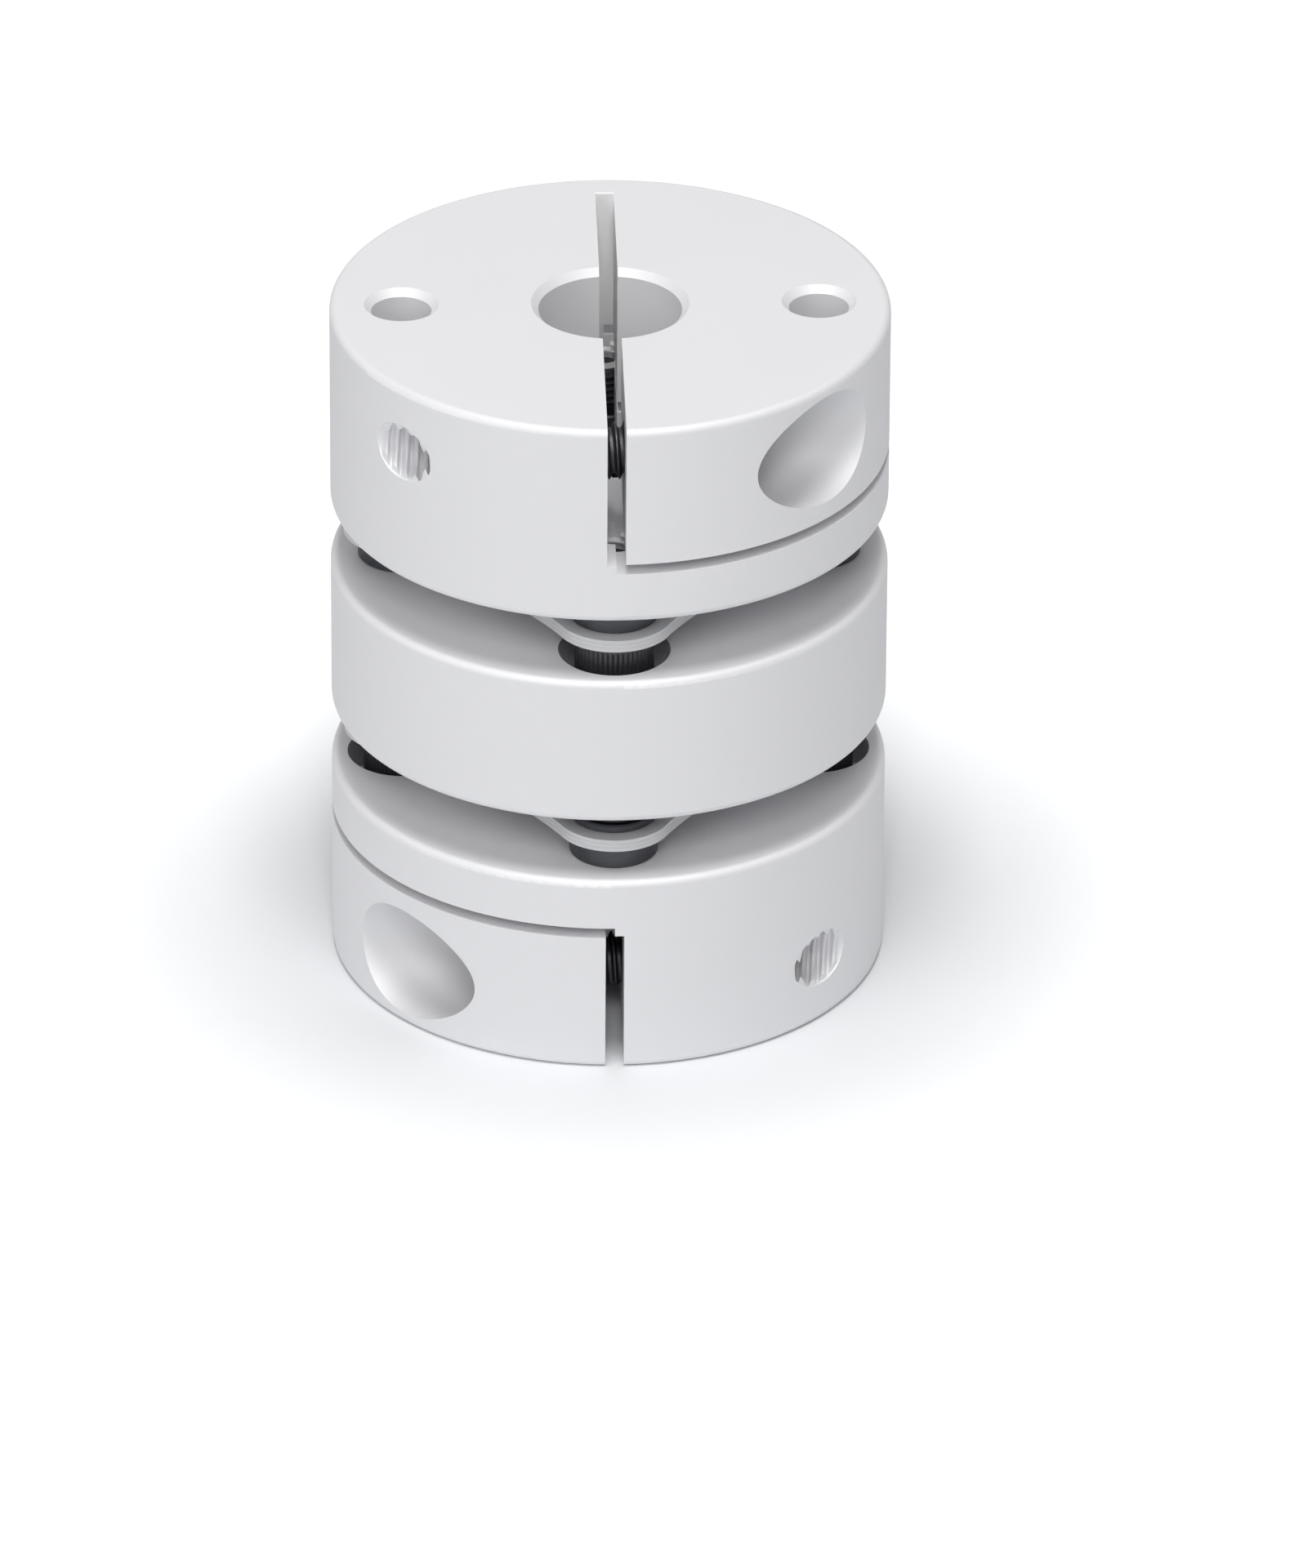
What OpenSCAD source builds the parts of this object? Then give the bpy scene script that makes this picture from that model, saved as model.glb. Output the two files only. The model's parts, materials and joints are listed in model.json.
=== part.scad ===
// Double-disc flexible shaft coupling with clamp hubs, all sizes in millimetres.
// The shafts run along Z. The origin is on their axis, in the middle of the spacer.
// The lower half is the upper half turned half round about the Y axis.

/* [Body] */
// Outside diameter of hubs and spacer
body_d = 39; // [38:0.5:46]
// Length of each clamp hub along the shaft
hub_len = 14.8; // [14:0.2:20]
// Length of the spacer between the two disc packs
spacer_len = 11; // [10:0.5:20]
// Free gap that each disc pack bridges
gap = 4.7; // [4.2:0.1:5.2]
// Rounding of the outer rims
rim_r = 0.5; // [0.2:0.1:0.8]

/* [Hub] */
// Shaft bore of each hub
bore_d = 10; // [6:0.5:12]
// Chamfer at the mouth of the shaft bore
bore_chamfer = 0.5; // [0.2:0.1:0.8]
// Width of the clamping slit
slit_w = 1.3; // [0.8:0.1:1.6]
// Metal left behind the slit as the hinge of the clamp
hinge_t = 2.6; // [1.8:0.1:3]
// Thickness of the flange that the disc pack is bolted to
flange_t = 3.7; // [3.6:0.1:4.4]
// Height of the cross slit that frees one half of the clamp from the flange
relief_h = 0.8; // [0.6:0.1:1.2]
// How deep the clamping slit cuts into the height of the cross slit
slit_overlap = 0.2; // [0.1:0.1:0.5]

/* [Clamp screw] */
// Nominal diameter of the clamp screw
clamp_d = 4; // [3:0.5:4]
// Length of the clamp screw under its head
clamp_len = 14; // [12:1:16]
// Distance of the clamp screw's axis from the outside of the hub
clamp_inset = 6.7; // [6.5:0.1:7.2]
// Depth of the clamp screw below the outer face of its hub
clamp_depth = 4.9; // [4.7:0.1:5.2]
// Distance from the slit's middle to the seat of the screw's head
seat_x = 5.2; // [4.5:0.1:6]
// Counterbore for the clamp screw's head
counterbore_d = 8.2; // [7.6:0.1:8.4]

/* [Disc packs] */
// Distance of the disc bolts' axes from the outside of the body
lug_inset = 5; // [4.8:0.1:5.4]
// Number of leaves in the drawing of one pack
leaf_n = 3; // [3:1:3]
// Thickness of one leaf
leaf_t = 0.3; // [0.2:0.05:0.35]
// Width of a leaf's ring at its waists, between the lugs
leaf_ring_w = 4; // [3:0.25:4.5]
// Radius of the lugs of a leaf
lug_r = 4.1; // [3.7:0.1:4.3]
// Radius of the hollow flanks beside a lug
flank_r = 30; // [15:1:31]
// Nominal diameter of the disc bolts
bolt_d = 3; // [2.5:0.5:3]
// Length of a disc bolt under its head
bolt_len = 6; // [5.5:0.5:6.5]
// Outside diameter of collars and washers
collar_d = 6.2; // [6:0.1:6.8]
// Thickness of the washer under a bolt's head
washer_t = 0.6; // [0.4:0.1:0.8]

/* [Spacer] */
// Distance from the outside of the spacer to its bore
spacer_wall = 10.5; // [10:0.25:11.5]
// Holes that clear the heads of the disc bolts
head_hole_d = 7.8; // [7.2:0.1:8]
// Depth of the head holes in a hub's flange
head_hole_depth = 2.7; // [2.4:0.1:2.9]
// Holes through a hub that let a key reach the disc bolts
key_hole_d = 4.2; // [3.5:0.1:4.8]
// Chamfer at the mouths of the key holes
key_chamfer = 0.5; // [0.2:0.1:0.6]

/* [Fits] */
// Gap between a screw's thread and the tapped hole around it
thread_gap = 0.05; // [0.03:0.01:0.1]
// Gap between a disc bolt's shank and the plain hole around it
shank_gap = 0.1; // [0.05:0.05:0.2]
// Gap between the clamp screw's shank and the plain hole around it
clamp_gap = 0.25; // [0.15:0.05:0.4]

/* [Hidden] */
$fn = 96;

// The four lugs of a pack, counted from the front and turning to the right
FRONT = 0;
RIGHT = 1;
BACK = 2;
LEFT = 3;

body_r = body_d / 2;
pitch_r = body_r - lug_inset;
clamp_offset = body_r - clamp_inset;
spacer_bore_d = body_d - 2 * spacer_wall;
leaf_hole_d = spacer_bore_d;
waist_d = leaf_hole_d + 2 * leaf_ring_w;
// How far a cutting shape runs past the face that it opens
past = 1;

// Levels of the upper half
flange_z = spacer_len / 2 + gap;
relief_z = flange_z + flange_t;
end_z = flange_z + hub_len;
clamp_z = end_z - clamp_depth;
pack_z = spacer_len / 2 + gap / 2;
pack_t = leaf_n * leaf_t;
collar_t = (gap - pack_t) / 2;
slit_back_y = body_r - hinge_t;

// A socket head screw's head is about as tall as its thread is wide
clamp_head_d = 1.75 * clamp_d;
clamp_key = 0.75 * clamp_d;
bolt_head_d = 5.5 / 3 * bolt_d;
bolt_key = 2.5 / 3 * bolt_d;
socket_part = 0.5;
tip_chamfer = 0.3;
head_chamfer = 0.25;
// Each hollow flank dips this far under the ring and the lug, so that their edges cross
flank_dip = 0.02;

aluminium = [0.88, 0.89, 0.90];
spring_steel = [0.75, 0.76, 0.77];
grey_steel = [0.50, 0.50, 0.52];
black_steel = [0.16, 0.16, 0.17];

// Cross-section of a solid round bar with rounded rims, to be turned about the axis
module rounded_bar(r, len, edge) {
    square([r - edge, len]);
    translate([0, edge]) square([r, len - 2 * edge]);
    translate([r - edge, edge]) circle(edge);
    translate([r - edge, len - edge]) circle(edge);
}

// Countersink that breaks the edge of a hole of diameter d in a face looking up at z = 0
module hole_chamfer(d, size) {
    translate([0, 0, -size])
        cylinder(d1 = d, d2 = d + 4 * size, h = 2 * size);
}

// Places a child drawn at the front lug at lug number i
module at_lug(i) {
    rotate([0, 0, 90 * i])
        translate([0, -pitch_r, 0])
            children();
}

// The lower half is the upper one turned half round about the Y axis
module lower_half() {
    rotate([0, 180, 0]) children();
}

// Socket head screw along +Z, with the underside of its head at z = 0
module socket_screw(d, len, head_d, key) {
    difference() {
        union() {
            translate([0, 0, -d]) cylinder(d1 = head_d - 2 * head_chamfer, d2 = head_d, h = head_chamfer);
            translate([0, 0, head_chamfer - d]) cylinder(d = head_d, h = d - head_chamfer);
            cylinder(d = d, h = len - tip_chamfer);
            translate([0, 0, len - tip_chamfer]) cylinder(d1 = d, d2 = d - 2 * tip_chamfer, h = tip_chamfer);
        }
        translate([0, 0, -d - past])
            cylinder(d = key / cos(30), h = d * socket_part + past, $fn = 6);
    }
}

// Hole for the clamp screw: counterbore and plain hole on the right, thread on the left
module clamp_screw_hole() {
    translate([0, -clamp_offset, clamp_z])
        rotate([0, 90, 0]) {
            translate([0, 0, seat_x]) cylinder(d = counterbore_d, h = body_r);
            cylinder(d = clamp_d + 2 * clamp_gap, h = body_r);
            translate([0, 0, -body_r]) cylinder(d = clamp_d + 2 * thread_gap, h = body_r);
        }
}

// Clamping slit: in front it ends in the cross slit, behind the bore it runs through the flange
module clamp_slit() {
    translate([-slit_w / 2, -body_r - past, relief_z + relief_h - slit_overlap])
        cube([slit_w, body_r + past, hub_len]);
    translate([-slit_w / 2, 0, flange_z - past])
        cube([slit_w, slit_back_y, hub_len + 2 * past]);
}

// Cross slit that frees the right half of the clamp from the flange
module relief_slit() {
    translate([0, -body_r - past, relief_z])
        cube([body_r + past, 2 * (body_r + past), relief_h]);
}

// Clamp hub in the place of the upper one
module hub() {
    color(aluminium)
        difference() {
            translate([0, 0, flange_z]) rotate_extrude() rounded_bar(body_r, hub_len, rim_r);
            translate([0, 0, flange_z - past]) cylinder(d = bore_d, h = hub_len + 2 * past);
            translate([0, 0, end_z]) hole_chamfer(bore_d, bore_chamfer);
            translate([0, 0, flange_z]) rotate([180, 0, 0]) hole_chamfer(bore_d, bore_chamfer);
            clamp_slit();
            relief_slit();
            clamp_screw_hole();
            for (i = [LEFT, RIGHT]) {
                at_lug(i) {
                    translate([0, 0, flange_z - past]) cylinder(d = key_hole_d, h = hub_len + 2 * past);
                    translate([0, 0, flange_z - past]) cylinder(d = head_hole_d, h = head_hole_depth + past);
                    translate([0, 0, end_z]) hole_chamfer(key_hole_d, key_chamfer);
                }
            }
            for (i = [FRONT, BACK]) {
                at_lug(i)
                    translate([0, 0, flange_z - past])
                        cylinder(d = bolt_d + 2 * thread_gap, h = flange_t + 2 * past);
            }
        }
}

// Spacer: bore, two holes that clear bolt heads and two tapped holes
module spacer() {
    color(aluminium)
        difference() {
            translate([0, 0, -spacer_len / 2]) rotate_extrude() rounded_bar(body_r, spacer_len, rim_r);
            translate([0, 0, -spacer_len / 2 - past]) cylinder(d = spacer_bore_d, h = spacer_len + 2 * past);
            for (i = [FRONT, BACK]) {
                at_lug(i)
                    translate([0, 0, -spacer_len / 2 - past])
                        cylinder(d = head_hole_d, h = spacer_len + 2 * past);
            }
            for (i = [LEFT, RIGHT]) {
                at_lug(i)
                    translate([0, 0, -spacer_len / 2 - past])
                        cylinder(d = bolt_d + 2 * thread_gap, h = spacer_len + 2 * past);
            }
        }
}

// Clamp screw in the place of the upper one, pointing left
module clamp_screw() {
    color(black_steel)
        translate([seat_x, -clamp_offset, clamp_z])
            rotate([0, -90, 0])
                socket_screw(clamp_d, clamp_len, clamp_head_d, clamp_key);
}

// Web that fills the corner between the waist ring and one side of the front lug
module lug_flank() {
    reach_w = waist_d / 2 + flank_r;
    reach_l = lug_r + flank_r;
    along = (reach_w * reach_w - reach_l * reach_l + pitch_r * pitch_r) / (2 * pitch_r);
    aside = sqrt(reach_w * reach_w - along * along);
    difference() {
        linear_extrude(leaf_t) polygon([[0, 0], [aside, -along], [0, -pitch_r]]);
        translate([aside, -along, -past]) cylinder(r = flank_r + flank_dip, h = leaf_t + 2 * past);
    }
}

// One leaf with its underside at z = 0: a ring with four lugs and a hole in each lug
module leaf_plate() {
    difference() {
        union() {
            cylinder(d = waist_d, h = leaf_t);
            for (i = [FRONT, RIGHT, BACK, LEFT]) {
                at_lug(i) cylinder(r = lug_r, h = leaf_t);
                rotate([0, 0, 90 * i]) {
                    lug_flank();
                    mirror([1, 0, 0]) lug_flank();
                }
            }
        }
        translate([0, 0, -past]) cylinder(d = leaf_hole_d, h = leaf_t + 2 * past);
        for (i = [FRONT, RIGHT, BACK, LEFT]) {
            at_lug(i)
                translate([0, 0, -past])
                    cylinder(d = bolt_d + 2 * shank_gap, h = leaf_t + 2 * past);
        }
    }
}

// Leaf number i of the upper pack, counted from the spacer outwards
module leaf(i) {
    color(spring_steel)
        translate([0, 0, pack_z - pack_t / 2 + (i - 1) * leaf_t])
            leaf_plate();
}

// Turns a stack that is bolted to the hub into one that is bolted to the spacer
module stack_at(i) {
    translate([0, 0, pack_z])
        at_lug(i)
            rotate([i % 2 == 0 ? 0 : 180, 0, 0])
                children();
}

// Disc bolt of lug i in the upper pack: front and back ones screw into the hub
module disc_bolt(i) {
    color(black_steel)
        stack_at(i)
            translate([0, 0, -pack_t / 2 - washer_t])
                socket_screw(bolt_d, bolt_len, bolt_head_d, bolt_key);
}

// Flat ring with a clearance hole for a disc bolt
module ring(t) {
    difference() {
        cylinder(d = collar_d, h = t);
        translate([0, 0, -past]) cylinder(d = bolt_d + 2 * shank_gap, h = t + 2 * past);
    }
}

// Washer between the leaves and the head of a disc bolt
module washer(i) {
    color(grey_steel)
        stack_at(i)
            translate([0, 0, -pack_t / 2 - washer_t])
                ring(washer_t);
}

// Collar that holds the leaves off the face that the bolt screws into
module collar(i) {
    color(grey_steel)
        stack_at(i)
            translate([0, 0, pack_t / 2])
                ring(collar_t);
}

hub();  // upper_hub
spacer();
lower_half() hub();  // lower_hub
clamp_screw();  // upper_clamp_screw
lower_half() clamp_screw();  // lower_clamp_screw
leaf(1);  // upper_leaf_1
leaf(2);  // upper_leaf_2
leaf(3);  // upper_leaf_3
lower_half() leaf(1);  // lower_leaf_1
lower_half() leaf(2);  // lower_leaf_2
lower_half() leaf(3);  // lower_leaf_3
disc_bolt(FRONT);  // upper_front_bolt
disc_bolt(RIGHT);  // upper_right_bolt
disc_bolt(BACK);  // upper_back_bolt
disc_bolt(LEFT);  // upper_left_bolt
lower_half() disc_bolt(FRONT);  // lower_front_bolt
lower_half() disc_bolt(LEFT);  // lower_right_bolt
lower_half() disc_bolt(BACK);  // lower_back_bolt
lower_half() disc_bolt(RIGHT);  // lower_left_bolt
washer(FRONT);  // upper_front_washer
washer(RIGHT);  // upper_right_washer
washer(BACK);  // upper_back_washer
washer(LEFT);  // upper_left_washer
lower_half() washer(FRONT);  // lower_front_washer
lower_half() washer(LEFT);  // lower_right_washer
lower_half() washer(BACK);  // lower_back_washer
lower_half() washer(RIGHT);  // lower_left_washer
collar(FRONT);  // upper_front_collar
collar(RIGHT);  // upper_right_collar
collar(BACK);  // upper_back_collar
collar(LEFT);  // upper_left_collar
lower_half() collar(FRONT);  // lower_front_collar
lower_half() collar(LEFT);  // lower_right_collar
lower_half() collar(BACK);  // lower_back_collar
lower_half() collar(RIGHT);  // lower_left_collar
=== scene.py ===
# Looks of a double-disc flexible shaft coupling: clamp hubs, spacer, leaf packs and their screws.
# Lengths are in millimetres until mm() turns them into Blender's metres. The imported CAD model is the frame.
import json
import math
import bmesh
import bpy
from mathutils import Matrix, Vector

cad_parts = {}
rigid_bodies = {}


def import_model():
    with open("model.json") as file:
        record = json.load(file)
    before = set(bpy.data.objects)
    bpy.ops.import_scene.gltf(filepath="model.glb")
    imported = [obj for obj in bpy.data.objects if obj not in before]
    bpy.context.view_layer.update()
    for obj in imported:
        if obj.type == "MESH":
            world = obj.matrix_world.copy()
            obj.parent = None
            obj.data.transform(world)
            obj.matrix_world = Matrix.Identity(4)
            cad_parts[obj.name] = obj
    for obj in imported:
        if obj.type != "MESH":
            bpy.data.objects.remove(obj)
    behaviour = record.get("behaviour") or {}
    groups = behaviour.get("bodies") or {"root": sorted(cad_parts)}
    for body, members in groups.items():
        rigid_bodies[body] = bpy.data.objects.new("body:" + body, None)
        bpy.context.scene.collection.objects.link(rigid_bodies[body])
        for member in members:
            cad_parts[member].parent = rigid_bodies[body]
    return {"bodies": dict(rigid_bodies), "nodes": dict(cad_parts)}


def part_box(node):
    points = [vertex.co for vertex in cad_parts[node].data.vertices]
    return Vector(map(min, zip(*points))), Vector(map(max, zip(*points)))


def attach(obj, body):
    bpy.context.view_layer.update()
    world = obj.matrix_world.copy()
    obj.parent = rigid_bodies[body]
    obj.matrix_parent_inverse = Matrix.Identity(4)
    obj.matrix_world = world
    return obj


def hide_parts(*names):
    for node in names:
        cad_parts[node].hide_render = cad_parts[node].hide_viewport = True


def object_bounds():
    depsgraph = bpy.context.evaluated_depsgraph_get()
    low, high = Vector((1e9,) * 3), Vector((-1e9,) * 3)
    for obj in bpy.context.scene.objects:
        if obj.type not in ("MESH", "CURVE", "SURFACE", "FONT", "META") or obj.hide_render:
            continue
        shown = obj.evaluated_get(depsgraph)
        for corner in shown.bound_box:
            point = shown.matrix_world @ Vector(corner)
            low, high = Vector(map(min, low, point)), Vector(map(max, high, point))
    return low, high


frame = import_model()
cad_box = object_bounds()
root_body = list(frame["bodies"])[0]

# Table and white surroundings
# The coupling stands on a white table in a white studio. The table is matt laminate, which takes a soft
# shadow. A faint glow of its own, only seen directly or in a reflection, keeps it as white as the wall. It
# starts beside the coupling, so the shadow at its foot stays.
TABLE_SIZE = 3000
TABLE_HEX = "#E6E7E9"
TABLE_GLOW = 0.42
TABLE_GLOW_IN_GLOSS = 0.10
TABLE_GLOW_START = 18
TABLE_GLOW_FULL = 48
LAMINATE_TOOTH = 1.5
STUDIO_LIGHT = 0.26
STUDIO_WHITE = 1.0
STUDIO_WHITE_IN_GLOSS = 0.70


def mm(length):
    """Millimetres in metres."""
    return length * 0.001


def linear(hex_colour, alpha=1.0):
    """An sRGB hex colour as the linear RGBA that Blender's sockets hold."""
    parts = [int(hex_colour[i:i + 2], 16) / 255 for i in (1, 3, 5)]
    parts = [p / 12.92 if p <= 0.04045 else ((p + 0.055) / 1.055) ** 2.4 for p in parts]
    return (*parts, alpha)


def add_node(tree, kind, settings=None, **inputs):
    """A new node with its settings, and its inputs set to a value or linked to another node's output."""
    node = tree.nodes.new(kind)
    for name, value in (settings or {}).items():
        setattr(node, name, value)
    for name, value in inputs.items():
        socket = node.inputs[int(name[1:])] if name[1:].isdigit() else node.inputs[name.replace("_", " ")]
        if isinstance(value, bpy.types.NodeSocket):
            tree.links.new(value, socket)
        else:
            socket.default_value = value
    return node


def new_material(name):
    """An empty node material and its node tree."""
    material = bpy.data.materials.new(name)
    material.use_nodes = True
    material.node_tree.nodes.clear()
    return material, material.node_tree


def strength_by_ray(tree, plain, in_gloss, to_camera):
    """One strength for plain light, one for what glossy and clear surfaces show, and one for the camera."""
    path = add_node(tree, "ShaderNodeLightPath")
    shiny = add_node(tree, "ShaderNodeMath", {"operation": "MAXIMUM"},
                     _0=path.outputs["Is Glossy Ray"], _1=path.outputs["Is Transmission Ray"])
    gloss = add_node(tree, "ShaderNodeMath", {"operation": "MULTIPLY_ADD"},
                     _0=shiny.outputs[0], _1=in_gloss - plain, _2=plain)
    return add_node(tree, "ShaderNodeMath", {"operation": "MULTIPLY_ADD"},
                    _0=path.outputs["Is Camera Ray"], _1=to_camera - plain, _2=gloss.outputs[0]).outputs[0]


def white_laminate():
    """White laminate: matt, with a faint tooth that only breaks up the light a little."""
    material, tree = new_material("white_laminate")
    place = add_node(tree, "ShaderNodeTexCoord")
    tooth = add_node(tree, "ShaderNodeTexNoise", Vector=place.outputs["Object"],
                     Scale=1 / mm(LAMINATE_TOOTH), Detail=2.0)
    bump = add_node(tree, "ShaderNodeBump", Height=tooth.outputs["Fac"], Strength=0.05, Distance=mm(0.05))
    matt = add_node(tree, "ShaderNodeBsdfDiffuse", Color=linear(TABLE_HEX), Normal=bump.outputs[0])
    away = add_node(tree, "ShaderNodeVectorMath", {"operation": "MULTIPLY"}, _0=place.outputs["Object"],
                    _1=(1, 1, 0))
    away = add_node(tree, "ShaderNodeVectorMath", {"operation": "LENGTH"}, _0=away.outputs[0])
    share = add_node(tree, "ShaderNodeMapRange", {"interpolation_type": "SMOOTHSTEP"}, Value=away.outputs["Value"],
                     From_Min=mm(TABLE_GLOW_START), From_Max=mm(TABLE_GLOW_FULL))
    strength = add_node(tree, "ShaderNodeMath", {"operation": "MULTIPLY"}, _0=share.outputs[0],
                        _1=strength_by_ray(tree, 0.0, TABLE_GLOW_IN_GLOSS, TABLE_GLOW))
    glow = add_node(tree, "ShaderNodeEmission", Color=linear("#FFFFFF"), Strength=strength.outputs[0])
    both = add_node(tree, "ShaderNodeAddShader", _0=matt.outputs[0], _1=glow.outputs[0])
    add_node(tree, "ShaderNodeOutputMaterial", Surface=both.outputs[0])
    return material


bm = bmesh.new()
bmesh.ops.create_grid(bm, x_segments=1, y_segments=1, size=mm(TABLE_SIZE / 2),
                      matrix=Matrix.Translation((0, 0, cad_box[0].z)))
table_mesh = bpy.data.meshes.new("table")
bm.to_mesh(table_mesh)
bm.free()
table = bpy.data.objects.new("table", table_mesh)
bpy.context.collection.objects.link(table)
table.data.materials.append(white_laminate())

world = bpy.data.worlds.new("white_studio")
world.use_nodes = True
world.node_tree.nodes.clear()
wall = add_node(world.node_tree, "ShaderNodeBackground", Color=linear("#FFFFFF"),
                Strength=strength_by_ray(world.node_tree, STUDIO_LIGHT, STUDIO_WHITE_IN_GLOSS, STUDIO_WHITE))
add_node(world.node_tree, "ShaderNodeOutputWorld", Surface=wall.outputs[0])
bpy.context.scene.world = world

# Camera
# A long lens looks down on the coupling from the front, as in the photo. Its place comes from a fit to the
# rims, slits and holes of the hubs and of the spacer.
PHOTO_HEIGHT = 1920
FOCAL_PIXELS = 18160
CAMERA_DISTANCE = 1041.5
CAMERA_ELEVATION = 28.74
CAMERA_AZIMUTH = -1.7
CAMERA_ROLL = 0.32
CAMERA_RIGHT = 3.05
CAMERA_UP = -11.48
SENSOR = 36

azimuth = math.radians(CAMERA_AZIMUTH)
elevation = math.radians(CAMERA_ELEVATION)
back = Vector((math.sin(azimuth) * math.cos(elevation), -math.cos(azimuth) * math.cos(elevation),
               math.sin(elevation)))
right = Vector((math.cos(azimuth), math.sin(azimuth), 0))
up = back.cross(right)
camera_data = bpy.data.cameras.new("camera")
camera_data.sensor_width = SENSOR
camera_data.lens = SENSOR * FOCAL_PIXELS / PHOTO_HEIGHT
camera_data.clip_start = mm(10)
camera_data.clip_end = mm(10000)
camera = bpy.data.objects.new("camera", camera_data)
bpy.context.collection.objects.link(camera)
turn = Matrix((right, up, back)).transposed().to_4x4()
camera.matrix_world = (Matrix.Translation(mm(1) * (back * CAMERA_DISTANCE + right * CAMERA_RIGHT + up * CAMERA_UP))
                       @ turn @ Matrix.Rotation(math.radians(CAMERA_ROLL), 4, "Z"))
bpy.context.scene.camera = camera

# Lamps
# Four soft boxes: a large one high on the left, one over the lens that reaches into the slits and counterbores,
# one overhead for the upper end face, and a weak one on the right.
SOFT_BOXES = {
    "left_box": {"place": (-560, -470, 420), "width": 450, "height": 450, "watts": 1.15},
    "lens_box": {"place": (-10, -710, 630), "width": 140, "height": 320, "watts": 1.9},
    "top_box": {"place": (0, -190, 880), "width": 260, "height": 300, "watts": 4.1},
    "right_box": {"place": (620, -250, 420), "width": 400, "height": 400, "watts": 0.05},
}

for name, box in SOFT_BOXES.items():
    lamp_data = bpy.data.lights.new(name, "AREA")
    lamp_data.shape = "RECTANGLE"
    lamp_data.size = mm(box["width"])
    lamp_data.size_y = mm(box["height"])
    lamp_data.energy = box["watts"]
    lamp = bpy.data.objects.new(name, lamp_data)
    bpy.context.collection.objects.link(lamp)
    place = mm(1) * Vector(box["place"])
    lamp.location = place
    lamp.rotation_euler = place.to_track_quat("Z", "Y").to_euler()

bpy.context.scene.view_settings.view_transform = "Standard"

# Hubs and spacer
# Turned and milled from aluminium bar, then blasted with glass beads and clear-anodised. That leaves an even,
# silvery satin with a very fine grain and no tool marks. The walls of the clamping slit behind the bore get
# painted light: a near-white matt colour that stands in for light falling into the narrow slit from above and
# in front, which the lamps do not bring there.
ALUMINIUM_HEX = "#EAEAEC"
# Painted light: the near-white matt colour of the slit's rear walls, and the box in X, Y and height that it fills
SLIT_PAINTED_LIGHT_HEX = "#FCFCFC"
PAINTED_LIGHT_X = (-0.67, 0.67)
PAINTED_LIGHT_Y = (4.9, 17.21)
PAINTED_LIGHT_HEIGHT = (10.1, 25.1)
BEAD_GRAIN = 0.16
CLOUD = 9
NOISE_LOW = 0.3
NOISE_HIGH = 0.7


def blasted_anodised_aluminium():
    """Satin metal under a milky oxide skin: most of its look is matt, and the fine pits soften all gloss."""
    material, tree = new_material("blasted_anodised_aluminium")
    place = add_node(tree, "ShaderNodeTexCoord").outputs["Object"]
    cloud = add_node(tree, "ShaderNodeTexNoise", Vector=place, Scale=1 / mm(CLOUD), Detail=3.0)
    grain = add_node(tree, "ShaderNodeTexNoise", Vector=place, Scale=1 / mm(BEAD_GRAIN), Detail=2.0)
    bump = add_node(tree, "ShaderNodeBump", Height=grain.outputs["Fac"], Strength=0.35, Distance=mm(0.012))
    rough = add_node(tree, "ShaderNodeMapRange", Value=cloud.outputs["Fac"], From_Min=NOISE_LOW,
                     From_Max=NOISE_HIGH, To_Min=0.60, To_Max=0.66)
    metal = add_node(tree, "ShaderNodeBsdfPrincipled", Base_Color=linear(ALUMINIUM_HEX), Metallic=0.25,
                     Roughness=rough.outputs[0], Normal=bump.outputs[0])
    # Painted light: a near-white matt surface standing in for light falling into the slit behind the bore
    slit_painted_light = add_node(tree, "ShaderNodeBsdfPrincipled", Base_Color=linear(SLIT_PAINTED_LIGHT_HEX), Roughness=0.6)
    # Mask of the painted light: 1 inside the slit's box behind the bore, in both hubs, and 0 elsewhere
    axes = add_node(tree, "ShaderNodeSeparateXYZ", Vector=place).outputs
    height = add_node(tree, "ShaderNodeMath", {"operation": "ABSOLUTE"}, _0=axes["Z"]).outputs[0]
    in_painted_light = 1.0
    for value, (low, high) in ((axes["X"], PAINTED_LIGHT_X), (axes["Y"], PAINTED_LIGHT_Y), (height, PAINTED_LIGHT_HEIGHT)):
        inside = add_node(tree, "ShaderNodeMath", {"operation": "COMPARE"}, _0=value, _1=mm((low + high) / 2),
                          _2=mm((high - low) / 2))
        in_painted_light = add_node(tree, "ShaderNodeMath", {"operation": "MULTIPLY"}, _0=in_painted_light,
                          _1=inside.outputs[0]).outputs[0]
    both = add_node(tree, "ShaderNodeMixShader", Fac=in_painted_light, _1=metal.outputs[0], _2=slit_painted_light.outputs[0])
    add_node(tree, "ShaderNodeOutputMaterial", Surface=both.outputs[0])
    return material


def dress(node, material):
    """Gives a CAD node its one material."""
    node.data.materials.clear()
    node.data.materials.append(material)


aluminium = blasted_anodised_aluminium()
for name in ("upper_hub", "lower_hub", "spacer"):
    dress(frame["nodes"][name], aluminium)

# Leaves
# Punched from cold-rolled stainless spring strip, three to a pack, and tumbled, which only just rounds their
# edges. That fine rounding is what tells one leaf of a pack from the next.
LEAF_HEX = "#D2D2D4"
ROLL_MARK = 0.05
LEAF_EDGE = 0.03
SHARP = math.radians(35)


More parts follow.
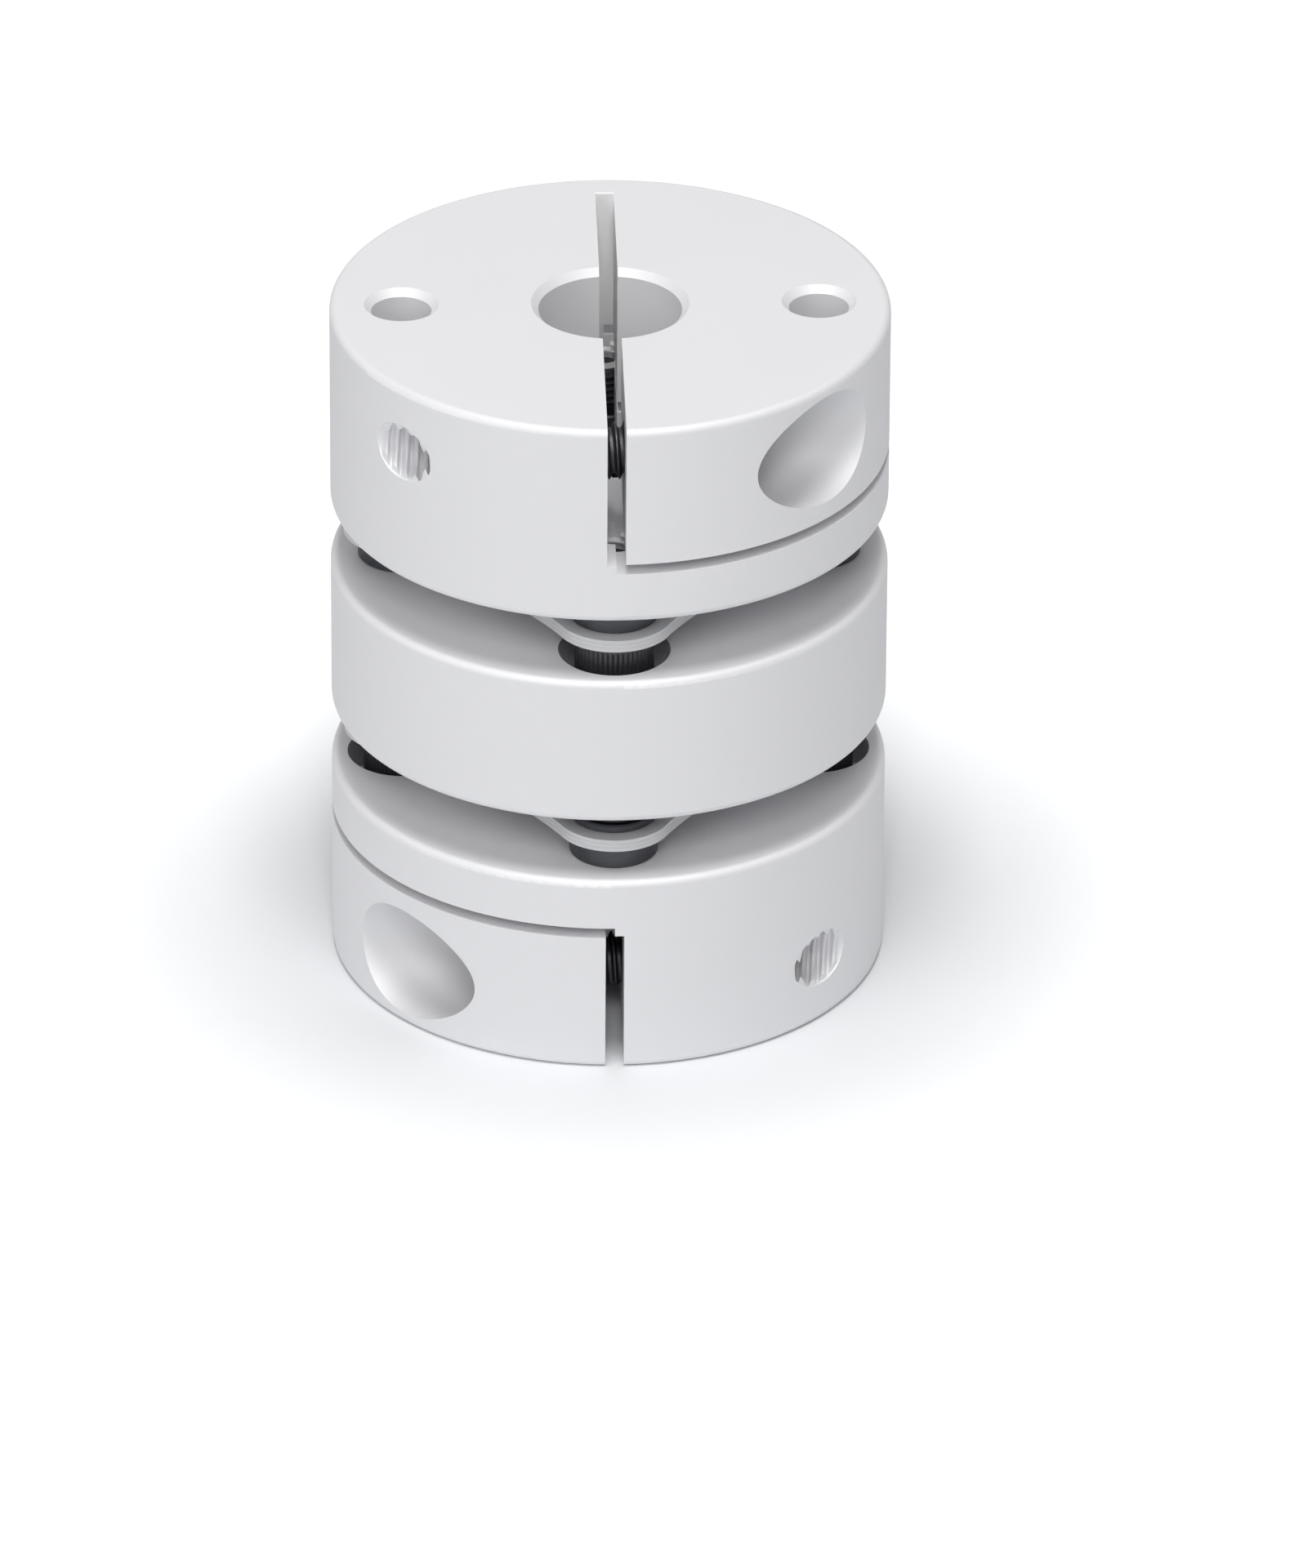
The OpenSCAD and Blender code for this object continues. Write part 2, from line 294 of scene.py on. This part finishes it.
def rolled_spring_steel():
    """Semi-bright metal with faint streaks along the direction in which the strip was rolled."""
    material, tree = new_material("rolled_spring_steel")
    place = add_node(tree, "ShaderNodeTexCoord").outputs["Object"]
    along = add_node(tree, "ShaderNodeMapping", Vector=place, Scale=(0.02, 1.0, 1.0))
    streaks = add_node(tree, "ShaderNodeTexNoise", Vector=along.outputs[0], Scale=1 / mm(ROLL_MARK), Detail=3.0)
    bump = add_node(tree, "ShaderNodeBump", Height=streaks.outputs["Fac"], Strength=0.2, Distance=mm(0.004))
    rough = add_node(tree, "ShaderNodeMapRange", Value=streaks.outputs["Fac"], From_Min=NOISE_LOW,
                     From_Max=NOISE_HIGH, To_Min=0.44, To_Max=0.56)
    metal = add_node(tree, "ShaderNodeBsdfPrincipled", Base_Color=linear(LEAF_HEX), Metallic=0.4,
                     Roughness=rough.outputs[0], Normal=bump.outputs[0])
    add_node(tree, "ShaderNodeOutputMaterial", Surface=metal.outputs[0])
    return material


def new_piece(name, bm, material):
    """A finished mesh as a piece that rides with the coupling, smooth but for its sharp edges."""
    for face in bm.faces:
        face.smooth = True
    for edge in bm.edges:
        edge.smooth = edge.calc_face_angle(0) < SHARP
    mesh = bpy.data.meshes.new(name)
    bm.to_mesh(mesh)
    bm.free()
    piece = bpy.data.objects.new(name, mesh)
    bpy.context.collection.objects.link(piece)
    piece.data.materials.append(material)
    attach(piece, root_body)
    return piece


spring_steel = rolled_spring_steel()
for name in [name for name in frame["nodes"] if "leaf" in name]:
    bm = bmesh.new()
    bm.from_mesh(frame["nodes"][name].data)
    bmesh.ops.remove_doubles(bm, verts=bm.verts, dist=mm(0.001))
    bmesh.ops.dissolve_limit(bm, angle_limit=math.radians(1), verts=bm.verts, edges=bm.edges)
    rims = [edge for edge in bm.edges if edge.calc_face_angle(0) > SHARP]
    bmesh.ops.bevel(bm, geom=rims, offset=mm(LEAF_EDGE), offset_type="OFFSET", affect="EDGES", segments=2,
                    profile=0.5, material=-1, clamp_overlap=True)
    bmesh.ops.triangulate(bm, faces=bm.faces)
    leaf = new_piece(name.replace("leaf", "spring_leaf"), bm, spring_steel)
    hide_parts(name)

# Collars and washers
# Rings of plain carbon steel, turned and parted from bar, then oiled black. The tool breaks their outer and
# inner edges with a small chamfer.
RING_HEX = "#55565A"
TURN_MARK = 0.06
RING_CHAMFER = 0.12
RING_STEPS = 72
BOLT_CLEARANCE_RADIUS = 1.6


def turned_steel():
    """Dark grey metal with fine rings from the turning tool."""
    material, tree = new_material("turned_steel")
    place = add_node(tree, "ShaderNodeTexCoord").outputs["Object"]
    flat = add_node(tree, "ShaderNodeMapping", Vector=place, Scale=(0.05, 0.05, 1.0))
    marks = add_node(tree, "ShaderNodeTexNoise", Vector=flat.outputs[0], Scale=1 / mm(TURN_MARK), Detail=2.0)
    bump = add_node(tree, "ShaderNodeBump", Height=marks.outputs["Fac"], Strength=0.3, Distance=mm(0.005))
    rough = add_node(tree, "ShaderNodeMapRange", Value=marks.outputs["Fac"], From_Min=NOISE_LOW,
                     From_Max=NOISE_HIGH, To_Min=0.32, To_Max=0.46)
    metal = add_node(tree, "ShaderNodeBsdfPrincipled", Base_Color=linear(RING_HEX), Metallic=1.0,
                     Roughness=rough.outputs[0], Normal=bump.outputs[0])
    add_node(tree, "ShaderNodeOutputMaterial", Surface=metal.outputs[0])
    return material


def box_in_mm(node_name):
    """Middle and size of a CAD node in millimetres."""
    low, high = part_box(node_name)
    return (low + high) * 500, (high - low) * 1000


ring_steel = turned_steel()
for name in [name for name in frame["nodes"] if "collar" in name or "washer" in name]:
    middle, size = box_in_mm(name)
    bm = bmesh.new()
    corners = [bm.verts.new((mm(radius), 0, mm(height)))
               for radius, height in ((BOLT_CLEARANCE_RADIUS, -size.z / 2), (size.x / 2, -size.z / 2),
                                      (size.x / 2, size.z / 2), (BOLT_CLEARANCE_RADIUS, size.z / 2))]
    outline = [bm.edges.new((corners[i - 1], corners[i])) for i in range(4)]
    bmesh.ops.spin(bm, geom=corners + outline, cent=(0, 0, 0), axis=(0, 0, 1), angle=2 * math.pi,
                   steps=RING_STEPS, use_merge=True)
    bmesh.ops.remove_doubles(bm, verts=bm.verts, dist=mm(0.001))
    bmesh.ops.recalc_face_normals(bm, faces=bm.faces)
    rims = [edge for edge in bm.edges if edge.calc_face_angle(0) > SHARP]
    bmesh.ops.bevel(bm, geom=rims, offset=mm(RING_CHAMFER), offset_type="OFFSET", affect="EDGES", segments=1,
                    profile=0.5, material=-1, clamp_overlap=True)
    bmesh.ops.translate(bm, verts=bm.verts, vec=mm(1) * middle)
    ring = new_piece(name.replace("collar", "turned_collar").replace("washer", "turned_washer"), bm, ring_steel)
    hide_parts(name)

# Screws
# Socket head cap screws of alloy steel with a black oxide finish. The head is forged with its hex socket and
# knurled by a rolling die, and the thread is rolled, so it is smooth and runs out under the head.
SCREW_HEX = "#58585C"
OXIDE_GRAIN = 0.2
CLAMP_THREAD = {"diameter": 4, "pitch": 0.7, "length": 14, "head": 7, "key": 3}
DISC_THREAD = {"diameter": 3, "pitch": 0.5, "length": 6, "head": 5.5, "key": 2.5}
KNURL_TEETH = 48
KNURL_DEPTH = 0.09
HEAD_STEPS = 4 * KNURL_TEETH
KNURL_END = 0.35
KNURL_SLOPE = 0.08
SOCKET_PART = 0.5
SOCKET_INSET = 0.1
SOCKET_LIP = 0.15
SOCKET_CHAMFER = 0.08
DRILL_POINT = 0.35
HEAD_EDGE = 0.25
HEAD_FLAT_INSET = 0.1
HEAD_FLAT_DROP = 0.02
SMOOTH_BAND = 0.03
UNDERHEAD = 0.12
TIP_CHAMFER = 0.3
THREAD_STEPS = 30
ROOT_DEPTH = 0.6134
RIDGE_FOOT = 0.75
RIDGE_CREST = 0.125
RIDGE_RUN_OUT = 0.4
EMBED = 0.03


def black_oxide_steel():
    """Dark satin metal, a little uneven where the oil has dried on it."""
    material, tree = new_material("black_oxide_steel")
    place = add_node(tree, "ShaderNodeTexCoord").outputs["Object"]
    oil = add_node(tree, "ShaderNodeTexNoise", Vector=place, Scale=1 / mm(OXIDE_GRAIN), Detail=3.0)
    rough = add_node(tree, "ShaderNodeMapRange", Value=oil.outputs["Fac"], From_Min=NOISE_LOW,
                     From_Max=NOISE_HIGH, To_Min=0.42, To_Max=0.56)
    metal = add_node(tree, "ShaderNodeBsdfPrincipled", Base_Color=linear(SCREW_HEX), Metallic=0.8,
                     Roughness=rough.outputs[0])
    add_node(tree, "ShaderNodeOutputMaterial", Surface=metal.outputs[0])
    return material


def add_ring(bm, edges, radius, height):
    """Extrudes a closed ring of edges to a new radius, which may depend on the angle, at a new height."""
    made = bmesh.ops.extrude_edge_only(bm, edges=edges)["geom"]
    points = {part for part in made if isinstance(part, bmesh.types.BMVert)}
    for point in points:
        angle = math.atan2(point.co.y, point.co.x)
        reach = mm(radius(angle) if callable(radius) else radius)
        point.co = (reach * math.cos(angle), reach * math.sin(angle), mm(height))
    return [part for part in made if isinstance(part, bmesh.types.BMEdge) and set(part.verts) <= points]


def add_thread_ridge(bm, foot, crest, foot_width, crest_width, pitch, start, end):
    """Winds the ridge of a right-hand thread round Z from one height to another."""
    outline = [(foot, -foot_width / 2), (crest, -crest_width / 2), (crest, crest_width / 2), (foot, foot_width / 2)]
    points = [bm.verts.new((mm(radius), 0, mm(start + height))) for radius, height in outline]
    first = bm.faces.new(points)
    turns = (end - start) / pitch
    steps = round(turns * THREAD_STEPS)
    bmesh.ops.spin(bm, geom=[first], cent=(0, 0, 0), axis=(0, 0, 1), dvec=(0, 0, mm(end - start) / steps),
                   angle=2 * math.pi * turns, steps=steps, use_merge=False)


def socket_screw(thread, turned):
    """A socket head screw along +Z with the underside of its head at the origin."""
    radius, length, head = thread["diameter"] / 2, thread["length"], thread["head"] / 2
    pitch, height = thread["pitch"], thread["diameter"]
    core = radius - ROOT_DEPTH * pitch

    def hexagon(angle):
        """Distance to the side of the hex socket in this direction."""
        return thread["key"] / 2 / math.cos((angle % (math.pi / 3)) - math.pi / 6)

    def knurl(angle):
        """Radius of the head's side, with a narrow groove between each two teeth."""
        return head - (KNURL_DEPTH if round(angle / (2 * math.pi) * HEAD_STEPS) % 4 == 0 else 0)

    bm = bmesh.new()
    floor = bmesh.ops.create_circle(bm, cap_ends=True, cap_tris=True, segments=HEAD_STEPS,
                                    radius=mm(thread["key"] / 2 - SOCKET_INSET))["verts"]
    socket_floor = -height + SOCKET_PART * height
    drill_point = min(floor, key=lambda point: point.co.length)
    bmesh.ops.translate(bm, verts=floor, vec=(0, 0, mm(socket_floor)))
    drill_point.co.z += mm(DRILL_POINT * thread["key"] / 2)
    edges = [edge for edge in bm.edges if len(edge.link_faces) == 1]
    mouth = thread["key"] / 2 / math.cos(math.pi / 6) + SOCKET_CHAMFER
    band = head - SMOOTH_BAND
    for reach, level in ((hexagon, socket_floor), (hexagon, SOCKET_LIP - height), (mouth, -height),
                         (head - HEAD_EDGE - HEAD_FLAT_INSET, -height), (head - HEAD_EDGE, HEAD_FLAT_DROP - height),
                         (band, HEAD_EDGE - height), (knurl, HEAD_EDGE + KNURL_SLOPE - height),
                         (knurl, -KNURL_END), (band, KNURL_SLOPE - KNURL_END), (band, -UNDERHEAD),
                         (head - UNDERHEAD, 0), (core + UNDERHEAD, 0), (core, UNDERHEAD),
                         (core, length - TIP_CHAMFER / 2), (core - TIP_CHAMFER / 2, length)):
        edges = add_ring(bm, edges, reach, level)
    bmesh.ops.holes_fill(bm, edges=edges, sides=0)
    add_thread_ridge(bm, core - EMBED, radius, RIDGE_FOOT * pitch, RIDGE_CREST * pitch, pitch, pitch,
                     length - RIDGE_RUN_OUT * pitch)
    for point in bm.verts:
        room = mm(radius - max(0, TIP_CHAMFER - (length - point.co.z * 1000)))
        reach = math.hypot(point.co.x, point.co.y)
        if point.co.z > mm(length - TIP_CHAMFER) and reach > room:
            point.co.x *= room / reach
            point.co.y *= room / reach
    bmesh.ops.recalc_face_normals(bm, faces=bm.faces)
    bmesh.ops.rotate(bm, verts=bm.verts, cent=(0, 0, 0), matrix=Matrix.Rotation(math.radians(turned), 3, "Z"))
    return bm


black_steel = black_oxide_steel()
screws = {}
for index, name in enumerate(name for name in frame["nodes"] if "bolt" in name or "clamp_screw" in name):
    middle, size = box_in_mm(name)
    upper = name.startswith("upper")
    if "clamp_screw" in name:
        thread = CLAMP_THREAD
        direction = Vector((-1 if upper else 1, 0, 0))
        turn = Matrix.Rotation(math.radians(-90 if upper else 90), 4, "Y")
    else:
        thread = DISC_THREAD
        points_up = upper == ("front" in name or "back" in name)
        direction = Vector((0, 0, 1 if points_up else -1))
        turn = Matrix.Rotation(0 if points_up else math.pi, 4, "X")
    whole = thread["diameter"] + thread["length"]
    seat = middle + direction * (thread["diameter"] - whole / 2)
    place = Matrix.Translation(mm(1) * seat) @ turn
    screws[name] = (thread, place)
    bm = socket_screw(thread, 37 * index)
    bmesh.ops.transform(bm, verts=bm.verts, matrix=place)
    screw = new_piece(name.replace("bolt", "cap_screw").replace("clamp_screw", "clamp_cap_screw"), bm, black_steel)
    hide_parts(name)

# Threads in the hubs
# The tapped holes are cut with a tap. Past the tip of its screw, the thread shows as bright ridges in the
# wall of the hole, up to the outside of the hub or the slit.
HUB_RADIUS = 19.5
THREAD_GAP = 0.05
FLANGE_THICKNESS = 3.7
DISC_ENGAGEMENT = 2.6
TAPPED_FOOT = 0.875
TAPPED_CREST = 0.25
TAPPED_DEPTH = 0.5

for name, (thread, place) in screws.items():
    if not ("clamp_screw" in name or "front" in name or "back" in name):
        continue
    wall = thread["diameter"] / 2 + THREAD_GAP
    pitch = thread["pitch"]
    crest = thread["diameter"] / 2 - TAPPED_DEPTH * pitch
    if "clamp_screw" in name:
        end = thread["length"] + 10 * pitch
    else:
        end = thread["length"] + FLANGE_THICKNESS - DISC_ENGAGEMENT - pitch / 2
    bm = bmesh.new()
    add_thread_ridge(bm, wall + EMBED, crest, TAPPED_FOOT * pitch, TAPPED_CREST * pitch, pitch,
                     thread["length"] + pitch / 2, end)
    bmesh.ops.transform(bm, verts=bm.verts, matrix=place)
    if "clamp_screw" in name:
        axis_y = place.translation.y * 1000
        sides = [Vector((math.sqrt(HUB_RADIUS ** 2 - y ** 2), y, 0)) for y in (axis_y - wall, axis_y + wall)]
        outside = (sides[0] + sides[1]) / 2
        outside.x *= -1 if name.startswith("upper") else 1
        bmesh.ops.bisect_plane(bm, geom=bm.verts[:] + bm.edges[:] + bm.faces[:], dist=mm(0.0001),
                               plane_co=mm(1) * outside, plane_no=outside.normalized(), clear_outer=True)
        bmesh.ops.holes_fill(bm, edges=[edge for edge in bm.edges if len(edge.link_faces) == 1], sides=0)
    bmesh.ops.recalc_face_normals(bm, faces=bm.faces)
    new_piece(name.replace("clamp_screw", "hub_clamp_thread").replace("bolt", "flange_thread"), bm, aluminium)
